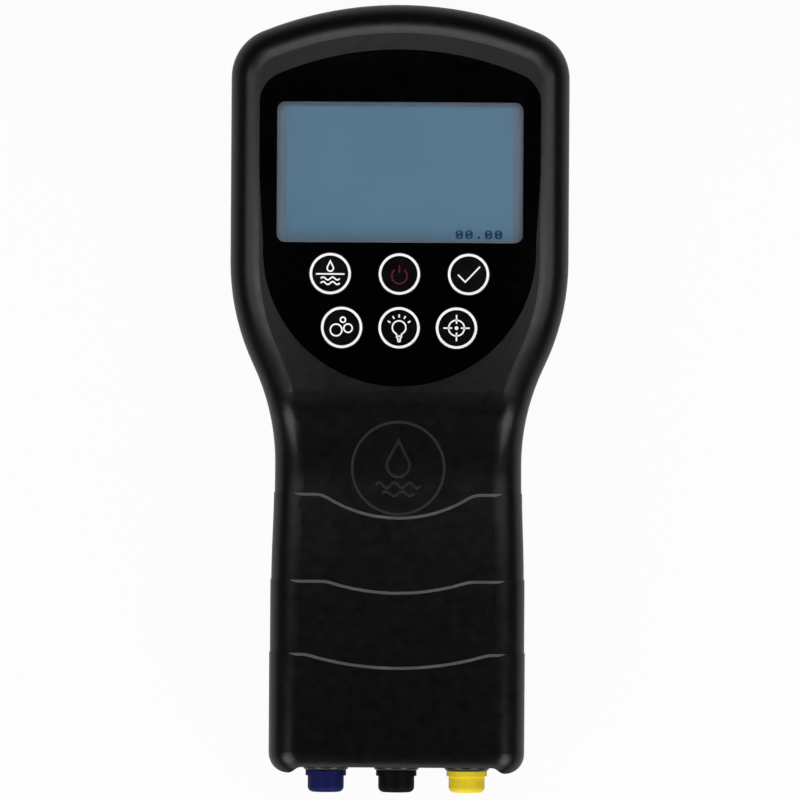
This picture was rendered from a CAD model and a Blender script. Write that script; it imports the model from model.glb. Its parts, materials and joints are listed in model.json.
"""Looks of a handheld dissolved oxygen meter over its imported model.

The model gives every form. This script adds the finishes, the rings and signs printed on the keys,
the digits on the display, the raised mark in the round emblem, the floor, lamps and camera.
Lengths on the object are written in millimetres and turned into metres by MM. The lamps are
placed in metres.
"""

import json
import math

import bmesh
import bpy
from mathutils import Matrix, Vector


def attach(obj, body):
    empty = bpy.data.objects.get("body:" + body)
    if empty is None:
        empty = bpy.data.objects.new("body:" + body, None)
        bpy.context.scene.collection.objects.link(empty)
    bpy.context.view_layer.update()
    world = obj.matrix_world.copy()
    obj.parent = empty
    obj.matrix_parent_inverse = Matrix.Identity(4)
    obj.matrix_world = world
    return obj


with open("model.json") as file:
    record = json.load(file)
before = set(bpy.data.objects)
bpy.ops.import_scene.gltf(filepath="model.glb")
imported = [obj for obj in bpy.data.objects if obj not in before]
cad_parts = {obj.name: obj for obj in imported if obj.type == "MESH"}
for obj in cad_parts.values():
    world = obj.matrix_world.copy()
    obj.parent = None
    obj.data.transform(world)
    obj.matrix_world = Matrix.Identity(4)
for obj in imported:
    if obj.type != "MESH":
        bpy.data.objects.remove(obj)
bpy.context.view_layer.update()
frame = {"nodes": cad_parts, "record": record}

MM = 0.001

# Key faces: centres, height of the face, and the print on them
key_centres = {
    "sensor": (-18.9, 30.6),
    "power": (0.0, 30.6),
    "confirm": (18.9, 30.6),
    "oxygen": (-15.7, 15.9),
    "backlight": (0.0, 15.9),
    "calibrate": (15.7, 15.9),
}
key_face = 37.1
ink = 0.03
stroke = 0.42

# Section of a key's white ring: radius and height over the face
ring_profile = [
    (4.94, 0.0),
    (4.97, ink),
    (5.55, ink),
    (5.6, ink - 0.005),
    (5.63, ink - 0.02),
    (5.64, -0.02),
]

# Display: height of its film, the square dots of its digits, and how many dots apart digits start
film_top = 34.1
dot_pitch = 0.335
dot_size = 0.325
dot_lift = 0.01
dots_per_digit = 8
digits_corner = (15.3, 40.35)

# Emblem circle on the neck, where and how much its groove is rubbed, and its raised mark
emblem_centre = (0.0, -22.5)
rub_inner = (12.2, 12.35)
rub_outer = (13.0, 12.85)
rub_front = (28, 29)
rub_strength = 0.3
rubbed_grey = (0.095, 0.095, 0.098, 1.0)
mark_width = 0.8
mark_height = 0.16
mark_top = 0.55

# Ledges of the grip: how far their surface leans to the crown, and the place where they begin
ledge_lean = (0.25, 0.45)
ledges_below = (-25, -28)

# Where the copper-coloured end of a cell's sleeve begins
sleeve_end = (-52.2, -51.8)

# Over the neck: where the search for its surface starts, and the height used if it misses
search_from = 60
grip_plane = 33.0


# Materials


def blank(name):
    """A new material with its node tree and its Principled shader."""
    material = bpy.data.materials.new(name)
    material.use_nodes = True
    tree = material.node_tree
    return material, tree, tree.nodes["Principled BSDF"]


def noise(tree, per_mm, detail=2.0, stretch=(1.0, 1.0, 1.0)):
    """Noise in the piece's own coordinates, with so many features to a millimetre."""
    where = tree.nodes.new("ShaderNodeTexCoord")
    scaled = tree.nodes.new("ShaderNodeMapping")
    scaled.inputs["Scale"].default_value = [s * per_mm / MM for s in stretch]
    field = tree.nodes.new("ShaderNodeTexNoise")
    field.inputs["Scale"].default_value = 1.0
    field.inputs["Detail"].default_value = detail
    tree.links.new(where.outputs["Object"], scaled.inputs["Vector"])
    tree.links.new(scaled.outputs["Vector"], field.inputs["Vector"])
    return field.outputs["Fac"]


def between(tree, value, low, high):
    """A noise value, most of which lies from 0.3 to 0.7, stretched from low to high."""
    span = tree.nodes.new("ShaderNodeMapRange")
    span.inputs["From Min"].default_value = 0.3
    span.inputs["From Max"].default_value = 0.7
    span.inputs["To Min"].default_value = low
    span.inputs["To Max"].default_value = high
    tree.links.new(value, span.inputs["Value"])
    return span.outputs["Result"]


def tint(tree, value, dark, light):
    """A colour that goes from dark to light as the value goes from 0 to 1."""
    ramp = tree.nodes.new("ShaderNodeMix")
    ramp.data_type = "RGBA"
    ramp.inputs["A"].default_value = (*dark, 1.0)
    ramp.inputs["B"].default_value = (*light, 1.0)
    tree.links.new(value, ramp.inputs["Factor"])
    return ramp.outputs["Result"]


def relief(tree, shader, value, depth):
    """Fine relief of that depth in millimetres."""
    bump = tree.nodes.new("ShaderNodeBump")
    bump.inputs["Strength"].default_value = 1.0
    bump.inputs["Distance"].default_value = depth * MM
    tree.links.new(value, bump.inputs["Height"])
    tree.links.new(bump.outputs["Normal"], shader.inputs["Normal"])


def plastic(name, dark, light, rough, grain_per_mm, grain_depth, level=0.5):
    """Moulded plastic: colour and gloss that drift a little, over a fine mould grain."""
    material, tree, shader = blank(name)
    drift = between(tree, noise(tree, 0.06, 3.0), 0.0, 1.0)
    tree.links.new(tint(tree, drift, dark, light), shader.inputs["Base Color"])
    low, high = rough
    tree.links.new(between(tree, noise(tree, 0.35, 4.0), low, high), shader.inputs["Roughness"])
    relief(tree, shader, noise(tree, grain_per_mm, 3.0), grain_depth)
    shader.inputs["Specular IOR Level"].default_value = level
    return material


def metal(name, dark, light, rough, per_mm=0.8, depth=0.004, stretch=(1.0, 1.0, 1.0)):
    """Bare metal with drifting tone, uneven polish and fine working marks."""
    material, tree, shader = blank(name)
    shader.inputs["Metallic"].default_value = 1.0
    drift = between(tree, noise(tree, 0.4, 2.0), 0.0, 1.0)
    tree.links.new(tint(tree, drift, dark, light), shader.inputs["Base Color"])
    low, high = rough
    tree.links.new(between(tree, noise(tree, per_mm, 4.0), low, high), shader.inputs["Roughness"])
    relief(tree, shader, noise(tree, per_mm * 3, 2.0, stretch), depth)
    return material


def step(tree, value, start, end):
    """0 below start, 1 past end, and a straight rise between them."""
    span = tree.nodes.new("ShaderNodeMapRange")
    span.inputs["From Min"].default_value = start
    span.inputs["From Max"].default_value = end
    tree.links.new(value, span.inputs["Value"])
    return span.outputs["Result"]


def combine(tree, operation, first, second):
    """Two values through one Math node."""
    node = tree.nodes.new("ShaderNodeMath")
    node.operation = operation
    for socket, value in zip(node.inputs, (first, second)):
        if isinstance(value, float):
            socket.default_value = value
        else:
            tree.links.new(value, socket)
    return node.outputs["Value"]


def worn_ledges(tree):
    """1 on the sloping ledges of the grip that hands polish, less where noise spares them."""
    where = tree.nodes.new("ShaderNodeTexCoord")
    facing = tree.nodes.new("ShaderNodeSeparateXYZ")
    place = tree.nodes.new("ShaderNodeSeparateXYZ")
    tree.links.new(where.outputs["Normal"], facing.inputs["Vector"])
    tree.links.new(where.outputs["Object"], place.inputs["Vector"])
    tilted = step(tree, facing.outputs["Y"], *ledge_lean)
    below = step(tree, place.outputs["Y"], *(y * MM for y in ledges_below))
    uneven = between(tree, noise(tree, 0.12, 2.0), 0.55, 1.0)
    return combine(tree, "MULTIPLY", combine(tree, "MULTIPLY", tilted, below), uneven)


def worn_emblem(tree):
    """1 on the engraved circle of the emblem, on the front only."""
    where = tree.nodes.new("ShaderNodeTexCoord")
    place = tree.nodes.new("ShaderNodeSeparateXYZ")
    tree.links.new(where.outputs["Object"], place.inputs["Vector"])
    x = place.outputs["X"]
    y = combine(tree, "SUBTRACT", place.outputs["Y"], emblem_centre[1] * MM)
    square = combine(tree, "ADD", combine(tree, "MULTIPLY", x, x), combine(tree, "MULTIPLY", y, y))
    far = combine(tree, "POWER", square, 0.5)
    within = step(tree, far, *(radius * MM for radius in rub_outer))
    beyond = step(tree, far, *(radius * MM for radius in rub_inner))
    front = step(tree, place.outputs["Z"], *(height * MM for height in rub_front))
    return combine(tree, "MULTIPLY", combine(tree, "MULTIPLY", within, beyond), front)


def casing_black():
    """Satin black casing with a fine spark grain, worn a little on ledges and emblem."""
    dark, light = (0.0008, 0.0008, 0.0009), (0.0014, 0.0014, 0.0015)
    material = plastic("casing_black", dark, light, (0.27, 0.33), 3.0, 0.0025, 0.3)
    tree = material.node_tree
    shader = tree.nodes["Principled BSDF"]
    colour = shader.inputs["Base Color"].links[0].from_socket
    worn = tree.nodes.new("ShaderNodeMix")
    worn.data_type = "RGBA"
    circle = combine(tree, "MULTIPLY", worn_emblem(tree), rub_strength)
    tree.links.new(combine(tree, "MAXIMUM", worn_ledges(tree), circle), worn.inputs["Factor"])
    tree.links.new(colour, worn.inputs["A"])
    worn.inputs["B"].default_value = rubbed_grey
    tree.links.new(worn.outputs["Result"], shader.inputs["Base Color"])
    return material


def panel_black():
    """Glossy printed front panel."""
    dark, light = (0.0003, 0.0003, 0.0004), (0.0005, 0.0005, 0.0006)
    return plastic("panel_black", dark, light, (0.07, 0.11), 0.6, 0.0006, 0.35)


def key_black():
    """Silicone-soft key face in the panel's black."""
    dark, light = (0.0003, 0.0003, 0.0004), (0.0006, 0.0006, 0.0007)
    return plastic("key_black", dark, light, (0.16, 0.22), 2.0, 0.001, 0.35)


def window_clear():
    """Clear acrylic window that lets lamps through to the display."""
    material, tree, shader = blank("window_clear")
    shader.inputs["Base Color"].default_value = (0.93, 0.95, 0.96, 1.0)
    shader.inputs["Transmission Weight"].default_value = 1.0
    shader.inputs["IOR"].default_value = 1.49
    shader.inputs["Roughness"].default_value = 0.02
    through = tree.nodes.new("ShaderNodeBsdfTransparent")
    through.inputs["Color"].default_value = (0.93, 0.95, 0.96, 1.0)
    rays = tree.nodes.new("ShaderNodeLightPath")
    mix = tree.nodes.new("ShaderNodeMixShader")
    output = tree.nodes["Material Output"]
    tree.links.new(rays.outputs["Is Shadow Ray"], mix.inputs["Fac"])
    tree.links.new(shader.outputs["BSDF"], mix.inputs[1])
    tree.links.new(through.outputs["BSDF"], mix.inputs[2])
    tree.links.new(mix.outputs["Shader"], output.inputs["Surface"])
    return material


def display_film():
    """Front film of the display: blue grey with a faint mottle."""
    material, tree, shader = blank("display_film")
    drift = between(tree, noise(tree, 0.03, 2.0), 0.0, 1.0)
    colour = tint(tree, drift, (0.036, 0.101, 0.161), (0.040, 0.108, 0.170))
    tree.links.new(colour, shader.inputs["Base Color"])
    tree.links.new(between(tree, noise(tree, 0.5, 3.0), 0.42, 0.5), shader.inputs["Roughness"])
    relief(tree, shader, noise(tree, 2.5, 2.0), 0.001)
    return material


def display_glass():
    """Edge of the display glass round the film."""
    dark, light = (0.108, 0.130, 0.162), (0.114, 0.138, 0.172)
    return plastic("display_glass", dark, light, (0.29, 0.3), 1.0, 0.0006, 0.12)


def backlight_white():
    """Milky light guide behind the display."""
    dark, light = (0.72, 0.74, 0.74), (0.8, 0.81, 0.8)
    return plastic("backlight_white", dark, light, (0.3, 0.4), 1.0, 0.004)


def bezel_steel():
    """Folded steel frame of the display."""
    return metal("bezel_steel", (0.36, 0.36, 0.37), (0.46, 0.46, 0.47), (0.3, 0.42))


def board_green():
    """Solder mask over copper tracks that run across the board."""
    material, tree, shader = blank("board_green")
    along = between(tree, noise(tree, 0.5, 0.0, (0.12, 1.0, 1.0)), 0.0, 1.0)
    tracks = tint(tree, along, (0.004, 0.05, 0.02), (0.012, 0.11, 0.045))
    tree.links.new(tracks, shader.inputs["Base Color"])
    tree.links.new(between(tree, noise(tree, 0.6, 3.0), 0.25, 0.36), shader.inputs["Roughness"])
    relief(tree, shader, along, 0.03)
    return material


def chip_black():
    """Moulded chip packages."""
    dark, light = (0.008, 0.008, 0.009), (0.016, 0.016, 0.017)
    return plastic("chip_black", dark, light, (0.5, 0.6), 4.0, 0.01)


def header_black():
    """Black connector housings."""
    dark, light = (0.006, 0.006, 0.006), (0.01, 0.01, 0.01)
    return plastic("header_black", dark, light, (0.38, 0.46), 2.5, 0.006)


def screw_steel():
    """Zinc-plated screws."""
    return metal("screw_steel", (0.42, 0.42, 0.43), (0.56, 0.56, 0.56), (0.24, 0.36))


def brass():
    """Turned brass inserts and spacers."""
    return metal("brass", (0.55, 0.36, 0.12), (0.68, 0.47, 0.18), (0.24, 0.34))


def plunger_black():
    """Plungers between the keys and the push switches."""
    dark, light = (0.01, 0.01, 0.01), (0.018, 0.018, 0.018)
    return plastic("plunger_black", dark, light, (0.3, 0.4), 2.0, 0.004)


def switch_grey():
    """Steel-topped push switches."""
    return metal("switch_grey", (0.3, 0.3, 0.31), (0.4, 0.4, 0.41), (0.3, 0.42))


def cell_jacket():
    """Shrunk printed sleeve of the cells, graphite with a copper-coloured end."""
    material, tree, shader = blank("cell_jacket")
    where = tree.nodes.new("ShaderNodeTexCoord")
    parts = tree.nodes.new("ShaderNodeSeparateXYZ")
    tree.links.new(where.outputs["Object"], parts.inputs["Vector"])
    edge = step(tree, parts.outputs["Y"], *(y * MM for y in sleeve_end))
    colour = tint(tree, edge, (0.012, 0.013, 0.016), (0.45, 0.2, 0.06))
    tree.links.new(colour, shader.inputs["Base Color"])
    tree.links.new(between(tree, noise(tree, 0.4, 3.0), 0.2, 0.32), shader.inputs["Roughness"])
    relief(tree, shader, noise(tree, 0.5, 3.0), 0.01)
    shader.inputs["Metallic"].default_value = 0.35
    return material


def contact_nickel():
    """Nickel-plated battery contacts."""
    return metal("contact_nickel", (0.55, 0.53, 0.5), (0.68, 0.66, 0.62), (0.18, 0.3))


def lead_black():
    """Insulation of the inner leads."""
    dark, light = (0.01, 0.01, 0.01), (0.02, 0.02, 0.02)
    return plastic("lead_black", dark, light, (0.36, 0.46), 2.0, 0.01)


def socket_black():
    """Harder, smoother plastic of the sockets."""
    dark, light = (0.003, 0.003, 0.0032), (0.005, 0.005, 0.0052)
    return plastic("socket_black", dark, light, (0.28, 0.34), 2.0, 0.003)


def insulator_black():
    """Insulator that carries the pins."""
    dark, light = (0.008, 0.008, 0.008), (0.013, 0.013, 0.013)
    return plastic("insulator_black", dark, light, (0.4, 0.5), 2.0, 0.005)


def pin_gold():
    """Gold-plated pins."""
    return metal("pin_gold", (0.78, 0.52, 0.16), (0.9, 0.64, 0.24), (0.16, 0.26))


def nut_steel():
    """Ring nuts."""
    return metal("nut_steel", (0.36, 0.36, 0.36), (0.5, 0.5, 0.5), (0.28, 0.4))


def gasket_black():
    """Matt rubber seals."""
    dark, light = (0.006, 0.006, 0.006), (0.011, 0.011, 0.011)
    return plastic("gasket_black", dark, light, (0.62, 0.72), 2.5, 0.012)


def cap_blue():
    """Blue dust cap."""
    dark, light = (0.005, 0.008, 0.078), (0.007, 0.011, 0.100)
    return plastic("cap_blue", dark, light, (0.5, 0.58), 2.0, 0.006, 0.12)


def cap_black():
    """Black dust cap."""
    dark, light = (0.0015, 0.0015, 0.0016), (0.0028, 0.0028, 0.003)
    return plastic("cap_black", dark, light, (0.48, 0.56), 2.0, 0.006, 0.08)


def cap_yellow():
    """Yellow dust cap."""
    dark, light = (0.90, 0.69, 0.026), (0.95, 0.75, 0.036)
    return plastic("cap_yellow", dark, light, (0.5, 0.58), 2.0, 0.006, 0.12)


def emblem_black():
    """Raised lines of the emblem, rubbed a little lighter than the casing."""
    dark, light = (0.009, 0.009, 0.009), (0.016, 0.016, 0.016)
    return plastic("emblem_black", dark, light, (0.22, 0.28), 3.0, 0.0015)


def ink_white():
    """White print on the keys."""
    dark, light = (0.8, 0.8, 0.79), (0.86, 0.86, 0.85)
    return plastic("ink_white", dark, light, (0.4, 0.5), 3.0, 0.004)


def ink_red():
    """Dark red print of the power sign."""
    dark, light = (0.07, 0.006, 0.014), (0.09, 0.009, 0.02)
    return plastic("ink_red", dark, light, (0.5, 0.6), 3.0, 0.004, 0.1)


def ink_display():
    """Dark blue dots of the display."""
    dark, light = (0.003, 0.022, 0.06), (0.005, 0.032, 0.08)
    return plastic("ink_display", dark, light, (0.5, 0.6), 2.0, 0.001, 0.05)


makers = [
    casing_black, panel_black, window_clear, display_glass, display_film, backlight_white,
    bezel_steel, board_green, chip_black, header_black, screw_steel, brass, key_black,
    plunger_black, switch_grey, cell_jacket, contact_nickel, lead_black, socket_black,
    insulator_black, pin_gold, nut_steel, gasket_black, cap_blue, cap_black, cap_yellow,
]
finishes = {make.__name__: make() for make in makers}

for part in frame["record"]["subparts"]:
    for seat in frame["nodes"][part["node"]].material_slots:
        seat.material = finishes[part["material_slot"]]


# Printed and raised lines


def stand(name, mesh, material, body):
    """Puts a finished mesh in the scene, on a body, with the slot that its finish comes from."""
    mesh.materials.append(material)
    piece = bpy.data.objects.new(name, mesh)
    bpy.context.collection.objects.link(piece)
    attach(piece, body)
    return piece


def arc(centre, radius, start, end, steps=24):
    """Points on a circle, angles in degrees from +X."""
    turns = [math.radians(start + (end - start) * i / steps) for i in range(steps + 1)]
    return [(centre[0] + radius * math.cos(t), centre[1] + radius * math.sin(t)) for t in turns]


def line_sides(points, width, closed):
    """Points on both sides of a line, mitred at its corners."""
    left, right = [], []
    count = len(points)
    for i, point in enumerate(points):
        here = Vector(point)
        back = Vector(points[(i - 1) % count]) if closed or i > 0 else None
        ahead = Vector(points[(i + 1) % count]) if closed or i < count - 1 else None
        steps = [(here - back).normalized()] if back else []
        steps += [(ahead - here).normalized()] if ahead else []
        along = sum(steps, Vector((0.0, 0.0))).normalized()
        side = Vector((-along.y, along.x))
        reach = width / 2 / max(0.4, abs(along.dot(steps[0])))
        left.append(here + side * reach)
        right.append(here - side * reach)
    return left, right


def add_line(build, points, width, ground, height, closed=False, top=0.86):
    """A raised line on the surface that ground gives, its top narrower than its foot."""
    rows = []
    for part, level in ((1.0, 0.0), (top, height)):
        left, right = line_sides(points, width * part, closed)
        rows.append(
            [
                [build.verts.new((p.x * MM, p.y * MM, (ground(p) + level) * MM)) for p in side]
                for side in (left, right)
            ]
        )
    (foot_left, foot_right), (top_left, top_right) = rows
    count = len(points)
    last = count if closed else count - 1
    for i in range(last):
        j = (i + 1) % count
        build.faces.new((top_left[i], top_right[i], top_right[j], top_left[j]))
        build.faces.new((foot_left[i], top_left[i], top_left[j], foot_left[j]))
        build.faces.new((top_right[i], foot_right[i], foot_right[j], top_right[j]))
    if not closed:
        for i in (0, count - 1):
            build.faces.new((foot_left[i], foot_right[i], top_right[i], top_left[i]))


def key_sign(name, lines, at):
    """The printed sign of one key, from lines round the key's centre."""
    build = bmesh.new()
    for points, closed in lines:
        placed = [(x + at[0], y + at[1]) for x, y in points]
        add_line(build, placed, stroke, lambda point: key_face, ink, closed)
    bmesh.ops.recalc_face_normals(build, faces=build.faces)
    mesh = bpy.data.meshes.new(name)
    build.to_mesh(mesh)
    build.free()
    return mesh


def key_ring(name, at, steps=96):
    """The white ring printed round a key's face."""
    build = bmesh.new()
    rings = []
    for radius, height in ring_profile:
        points = arc(at, radius, 0, 360, steps)[:-1]
        rings.append(
            [build.verts.new((x * MM, y * MM, (key_face + height) * MM)) for x, y in points]
        )
    for inner, outer in zip(rings, rings[1:]):
        for i in range(steps):
            j = (i + 1) % steps
            build.faces.new((inner[i], outer[i], outer[j], inner[j]))
    bmesh.ops.recalc_face_normals(build, faces=build.faces)
    mesh = bpy.data.meshes.new(name)
    build.to_mesh(mesh)
    build.free()
    mesh.polygons.foreach_set("use_smooth", [True] * len(mesh.polygons))
    return mesh


def drop_outline(centre, radius, tip, steps=28):
    """A water drop: a round foot under a pointed tip."""
    x, y = centre
    reach = math.degrees(math.acos(radius / tip))
    return [(x, y + tip)] + arc(centre, radius, 90 + reach, 450 - reach, steps)


def ripple(half, y, height, waves, steps=40):
    """A wavy line."""
    points = []
    for i in range(steps + 1):
        part = i / steps
        points.append((half * (2 * part - 1), y + height * math.sin(part * waves * 2 * math.pi)))
    return points


def rays(centre, near, far, angles):
    """Short lines that point away from a centre, angles in degrees from +Y."""
    lines = []
    for angle in angles:
        way = Vector((math.sin(math.radians(angle)), math.cos(math.radians(angle))))
        ends = [Vector(centre) + way * reach for reach in (near, far)]
        lines.append(([tuple(end) for end in ends], False))
    return lines


signs = {
    "sensor": [
        ([(-3.9, -0.1), (3.9, -0.1)], False),
        (drop_outline((0.0, 1.5), 0.85, 1.9), True),
        (ripple(2.6, -1.35, 0.38, 2), False),
        (ripple(2.6, -2.6, 0.38, 2), False),
    ],
    "power": [
        (arc((0.0, -0.55), 2.1, 128, 412, 40), False),
        ([(0.0, 2.45), (0.0, 0.3)], False),
    ],
    "confirm": [
        ([(-2.9, -0.1), (-0.9, -2.1), (3.1, 2.1)], False),
    ],
    "oxygen": [
        (arc((-1.5, -0.7), 1.6, 0, 360, 36)[:-1], True),
        (arc((1.75, -0.2), 1.15, 0, 360, 32)[:-1], True),
        (arc((0.35, 2.1), 0.7, 0, 360, 24)[:-1], True),
    ],
    "backlight": [
        (arc((0.0, 0.05), 1.85, -68, 248, 40), False),
        ([(-0.66, -1.65), (-0.66, -2.55), (-0.3, -3.0), (-0.3, -3.75)], False),
        ([(0.66, -1.65), (0.66, -2.55), (0.3, -3.0), (0.3, -3.75)], False),
        ([(-0.7, -2.3), (0.7, -2.3)], False),
        ([(-0.4, -3.75), (0.4, -3.75)], False),
        *rays((0.0, 0.05), 2.75, 3.6, (-60, -29, 0, 29, 60)),
    ],
    "calibrate": [
        (arc((0.0, 0.0), 2.15, 0, 360, 40)[:-1], True),
        *rays((0.0, 0.0), 1.2, 3.6, (0, 90, 180, 270)),
        (arc((0.0, 0.0), 0.3, 0, 360, 12)[:-1], True),
    ],
}

white = ink_white()
red = ink_red()
for key, at in key_centres.items():
    body = f"key_{key}"
    stand(f"ring_{key}", key_ring(f"ring_{key}", at), white, body)
    paint = red if key == "power" else white
    stand(f"sign_{key}", key_sign(f"sign_{key}", signs[key], at), paint, body)


# Digits on the display

glyphs = {
    "0": [".####.", "##..##", "##.###", "######", "###.##", "##..##", ".####."],
    ".": ["......", "......", "......", "......", "......", "..##..", "..##.."],
}


def display_digits(text, corner):
    """Dot-matrix digits, one small square for each dot."""
    build = bmesh.new()
    for order, letter in enumerate(text):
        for row, dots in enumerate(reversed(glyphs[letter])):
            for column, dot in enumerate(dots):
                if dot == "#":
                    x = corner[0] + (order * dots_per_digit + column) * dot_pitch
                    y = corner[1] + row * dot_pitch
                    z = (film_top + dot_lift) * MM
                    square = [(0, 0), (dot_size, 0), (dot_size, dot_size), (0, dot_size)]
                    build.faces.new(
                        [build.verts.new(((x + a) * MM, (y + b) * MM, z)) for a, b in square]
                    )
    mesh = bpy.data.meshes.new("display_digits")
    build.to_mesh(mesh)
    build.free()
    return mesh


digits = display_digits("00.00", digits_corner)
stand("display_digits", digits, ink_display(), "housing")


# Raised mark in the emblem: a plain drop over ripples


def neck_height(point):
    """Height of the front shell's surface over a point of the plan."""
    shell = frame["nodes"]["front_shell"]
    start = Vector((point.x * MM, point.y * MM, search_from * MM))
    found, place, _, _ = shell.ray_cast(start, Vector((0.0, 0.0, -1.0)))
    return place.z / MM if found else grip_plane


def emblem_mark():
    """Low raised lines with gently sloping sides."""
    x, y = emblem_centre
    lines = [
        (drop_outline((0.0, 0.8), 3.1, 6.8), True),
        (ripple(6.2, -4.6, 0.7, 3, 60), False),
        (ripple(4.4, -6.9, 0.6, 2, 60), False),
    ]
    build = bmesh.new()
    for points, closed in lines:
        placed = [(a + x, b + y) for a, b in points]
        add_line(build, placed, mark_width, neck_height, mark_height, closed, mark_top)
    bmesh.ops.recalc_face_normals(build, faces=build.faces)
    mesh = bpy.data.meshes.new("emblem_mark")
    build.to_mesh(mesh)
    build.free()
    return mesh


stand("emblem_mark", emblem_mark(), emblem_black(), "housing")


# Floor, lamps, world and camera

# Floor: its grey, its share of plain white for the camera and in gloss, its size and its gap
floor_grey = 0.6
floor_shown = 0.95
floor_in_gloss = 0.12
floor_half = 3.0
floor_gap = 0.05

# World: its strength at the horizon and overhead, and how high the change ends
world_low = 0.12
world_high = 0.002
world_turn = 0.6

# Lamps, in metres: name, place, point aimed at, width, height and how bright the face is
studio_lamps = [
    ("crown_high", (0.0, 0.245, 0.45), (0.0, 0.245, 0.0), 0.34, 0.21, 3.4),
    ("crown_near", (0.0, 0.165, 0.16), (0.0, 0.0, 0.03), 0.26, 0.06, 0.7),
    ("left_box", (-0.168, 0.05, 0.20), (-0.04, 0.03, 0.03), 0.15, 0.13, 2.0),
    ("right_box", (0.168, 0.05, 0.20), (0.04, 0.03, 0.03), 0.15, 0.13, 2.2),
    ("left_neck_box", (-0.09, 0.022, 0.24), (-0.035, 0.01, 0.035), 0.06, 0.06, 5.2),
    ("right_neck_box", (0.09, 0.022, 0.24), (0.035, 0.01, 0.035), 0.06, 0.06, 5.2),
    ("foot_box", (0.0, -0.24, 0.10), (0.0, -0.11, 0.013), 0.20, 0.08, 2.0),
    ("left_foot_box", (-0.20, -0.24, 0.22), (-0.01, -0.11, 0.013), 0.18, 0.18, 4.2),
    ("right_foot_box", (0.20, -0.24, 0.22), (0.01, -0.11, 0.013), 0.18, 0.18, 4.2),
]

# Camera: straight above, a hair off the middle, far away behind a long lens
camera_place = (0.38 * MM, -3.84 * MM, 2.4663)
camera_roll = 0.365
lens_length = 400.0
sensor_width = 36.0
farthest_seen = 20.0


def pale_floor():
    """Pale floor, nearly white to the camera, that keeps a faint shadow of the object."""
    material, tree, shader = blank("floor_white")
    shader.inputs["Base Color"].default_value = (floor_grey, floor_grey, floor_grey, 1.0)
    shader.inputs["Roughness"].default_value = 0.9
    shader.inputs["Specular IOR Level"].default_value = 0.0
    glow = tree.nodes.new("ShaderNodeEmission")
    glow.inputs["Color"].default_value = (1.0, 1.0, 1.0, 1.0)
    glow.inputs["Strength"].default_value = 1.0
    path = tree.nodes.new("ShaderNodeLightPath")
    others = tree.nodes.new("ShaderNodeMath")
    others.operation = "ADD"
    tree.links.new(path.outputs["Is Glossy Ray"], others.inputs[0])
    tree.links.new(path.outputs["Is Transmission Ray"], others.inputs[1])
    dimmer = tree.nodes.new("ShaderNodeMath")
    dimmer.operation = "MULTIPLY"
    dimmer.inputs[1].default_value = floor_in_gloss
    tree.links.new(others.outputs["Value"], dimmer.inputs[0])
    part = tree.nodes.new("ShaderNodeMath")
    part.operation = "MULTIPLY_ADD"
    part.inputs[1].default_value = floor_shown
    tree.links.new(path.outputs["Is Camera Ray"], part.inputs[0])
    tree.links.new(dimmer.outputs["Value"], part.inputs[2])
    mix = tree.nodes.new("ShaderNodeMixShader")
    tree.links.new(part.outputs["Value"], mix.inputs["Fac"])
    tree.links.new(shader.outputs["BSDF"], mix.inputs[1])
    tree.links.new(glow.outputs["Emission"], mix.inputs[2])
    tree.links.new(mix.outputs["Shader"], tree.nodes["Material Output"].inputs["Surface"])
    return material


def lay_floor():
    """The floor under the object's flat back."""
    mesh = bpy.data.meshes.new("floor")
    turns = [(-1, -1), (1, -1), (1, 1), (-1, 1)]
    corners = [(x * floor_half, y * floor_half, 0.0) for x, y in turns]
    mesh.from_pydata(corners, [], [(0, 1, 2, 3)])
    mesh.materials.append(pale_floor())
    floor = bpy.data.objects.new("floor", mesh)
    floor.location.z = -floor_gap * MM
    bpy.context.collection.objects.link(floor)


def soft_box(name, place, aim, wide, high, radiance):
    """A rectangular lamp in metres, given by how bright its face is."""
    light = bpy.data.lights.new(name, "AREA")
    light.shape = "RECTANGLE"
    light.size = wide
    light.size_y = high
    light.energy = radiance * math.pi * wide * high
    lamp = bpy.data.objects.new(name, light)
    lamp.location = place
    lamp.rotation_euler = (Vector(aim) - Vector(place)).to_track_quat("-Z", "Y").to_euler()
    bpy.context.collection.objects.link(lamp)


def studio_world():
    """Dim above, brighter towards the horizon, white where the camera meets it."""
    world = bpy.data.worlds.new("studio")
    world.use_nodes = True
    tree = world.node_tree
    where = tree.nodes.new("ShaderNodeTexCoord")
    parts = tree.nodes.new("ShaderNodeSeparateXYZ")
    tree.links.new(where.outputs["Generated"], parts.inputs["Vector"])
    height = tree.nodes.new("ShaderNodeMapRange")
    height.inputs["From Min"].default_value = 0.0
    height.inputs["From Max"].default_value = world_turn
    height.inputs["To Min"].default_value = world_low
    height.inputs["To Max"].default_value = world_high
    tree.links.new(parts.outputs["Z"], height.inputs["Value"])
    path = tree.nodes.new("ShaderNodeLightPath")
    shown = tree.nodes.new("ShaderNodeMath")
    shown.operation = "MAXIMUM"
    tree.links.new(path.outputs["Is Camera Ray"], shown.inputs[0])
    tree.links.new(height.outputs["Result"], shown.inputs[1])
    background = tree.nodes["Background"]
    background.inputs["Color"].default_value = (1.0, 1.0, 1.0, 1.0)
    tree.links.new(shown.outputs["Value"], background.inputs["Strength"])
    bpy.context.scene.world = world


lay_floor()
for lamp in studio_lamps:
    soft_box(*lamp)
studio_world()

lens = bpy.data.cameras.new("camera")
lens.sensor_width = sensor_width
lens.lens = lens_length
lens.clip_end = farthest_seen
camera = bpy.data.objects.new("camera", lens)
camera.location = camera_place
camera.rotation_euler = (0.0, 0.0, math.radians(camera_roll))
bpy.context.collection.objects.link(camera)
bpy.context.scene.camera = camera
bpy.context.scene.view_settings.view_transform = "Standard"
